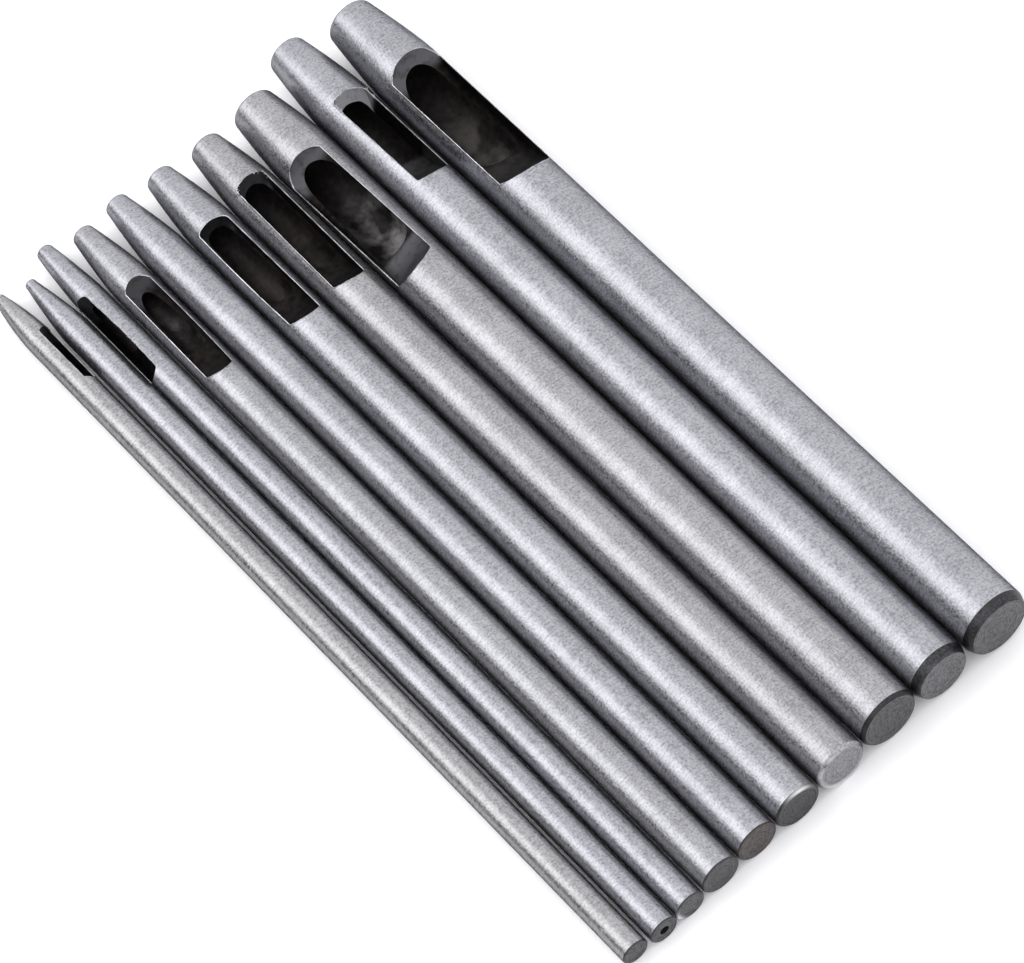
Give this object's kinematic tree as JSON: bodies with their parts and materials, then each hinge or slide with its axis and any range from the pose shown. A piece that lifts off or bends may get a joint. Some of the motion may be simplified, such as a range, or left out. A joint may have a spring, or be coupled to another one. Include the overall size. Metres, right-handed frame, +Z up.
{
  "type": "leather hole punch set",
  "caption": "Graded row of round hollow punches for leather: one-piece steel bars, each with a tapered tubular cutting tip, a slug window in its side and a flat butt to strike.",
  "frame": {"origin": "on the surface that the row lies on, under the middle of the row's box", "axes": "+Y along the punches from the struck butts to the cutting edges, +X across the row towards the thickest punch, +Z up"},
  "size_m": [0.0554, 0.1126, 0.008],
  "materials": {
    "steel_5_0_mm": "bare tool steel, ground satin shank, darker milled window and sawn butt",
    "steel_4_0_mm": "bare tool steel, ground satin shank, darker milled window and sawn butt",
    "steel_4_5_mm": "bare tool steel, ground satin shank, darker milled window and sawn butt",
    "steel_3_5_mm": "bare tool steel, ground satin shank, darker milled window and sawn butt",
    "steel_3_0_mm": "bare tool steel, ground satin shank, darker milled window and sawn butt",
    "steel_2_5_mm": "bare tool steel, ground satin shank, darker milled window and sawn butt",
    "steel_2_0_mm": "bare tool steel, ground satin shank, darker milled window and sawn butt",
    "steel_1_5_mm": "bare tool steel, ground satin shank, darker milled window and sawn butt",
    "steel_1_0_mm": "bare tool steel, ground satin shank, darker milled window and sawn butt",
    "steel_0_5_mm": "bare tool steel, ground satin shank, darker milled window and sawn butt"
  },
  "bodies": {
    "punch_5_0_mm": {"punch_5_0_mm": "steel_5_0_mm"},
    "punch_4_0_mm": {"punch_4_0_mm": "steel_4_0_mm"},
    "punch_4_5_mm": {"punch_4_5_mm": "steel_4_5_mm"},
    "punch_3_5_mm": {"punch_3_5_mm": "steel_3_5_mm"},
    "punch_3_0_mm": {"punch_3_0_mm": "steel_3_0_mm"},
    "punch_2_5_mm": {"punch_2_5_mm": "steel_2_5_mm"},
    "punch_2_0_mm": {"punch_2_0_mm": "steel_2_0_mm"},
    "punch_1_5_mm": {"punch_1_5_mm": "steel_1_5_mm"},
    "punch_1_0_mm": {"punch_1_0_mm": "steel_1_0_mm"},
    "punch_0_5_mm": {"punch_0_5_mm": "steel_0_5_mm"}
  },
  "joints": [
    {"name": "lift_4_0_mm", "type": "slide", "parent": "punch_5_0_mm", "child": "punch_4_0_mm", "axis": [0, 0, 1], "range_m": [0, 0.05]},
    {"name": "lift_4_5_mm", "type": "slide", "parent": "punch_5_0_mm", "child": "punch_4_5_mm", "axis": [0, 0, 1], "range_m": [0, 0.05]},
    {"name": "lift_3_5_mm", "type": "slide", "parent": "punch_5_0_mm", "child": "punch_3_5_mm", "axis": [0, 0, 1], "range_m": [0, 0.05]},
    {"name": "lift_3_0_mm", "type": "slide", "parent": "punch_5_0_mm", "child": "punch_3_0_mm", "axis": [0, 0, 1], "range_m": [0, 0.05]},
    {"name": "lift_2_5_mm", "type": "slide", "parent": "punch_5_0_mm", "child": "punch_2_5_mm", "axis": [0, 0, 1], "range_m": [0, 0.05]},
    {"name": "lift_2_0_mm", "type": "slide", "parent": "punch_5_0_mm", "child": "punch_2_0_mm", "axis": [0, 0, 1], "range_m": [0, 0.05]},
    {"name": "lift_1_5_mm", "type": "slide", "parent": "punch_5_0_mm", "child": "punch_1_5_mm", "axis": [0, 0, 1], "range_m": [0, 0.05]},
    {"name": "lift_1_0_mm", "type": "slide", "parent": "punch_5_0_mm", "child": "punch_1_0_mm", "axis": [0, 0, 1], "range_m": [0, 0.05]},
    {"name": "lift_0_5_mm", "type": "slide", "parent": "punch_5_0_mm", "child": "punch_0_5_mm", "axis": [0, 0, 1], "range_m": [0, 0.05]}
  ]
}
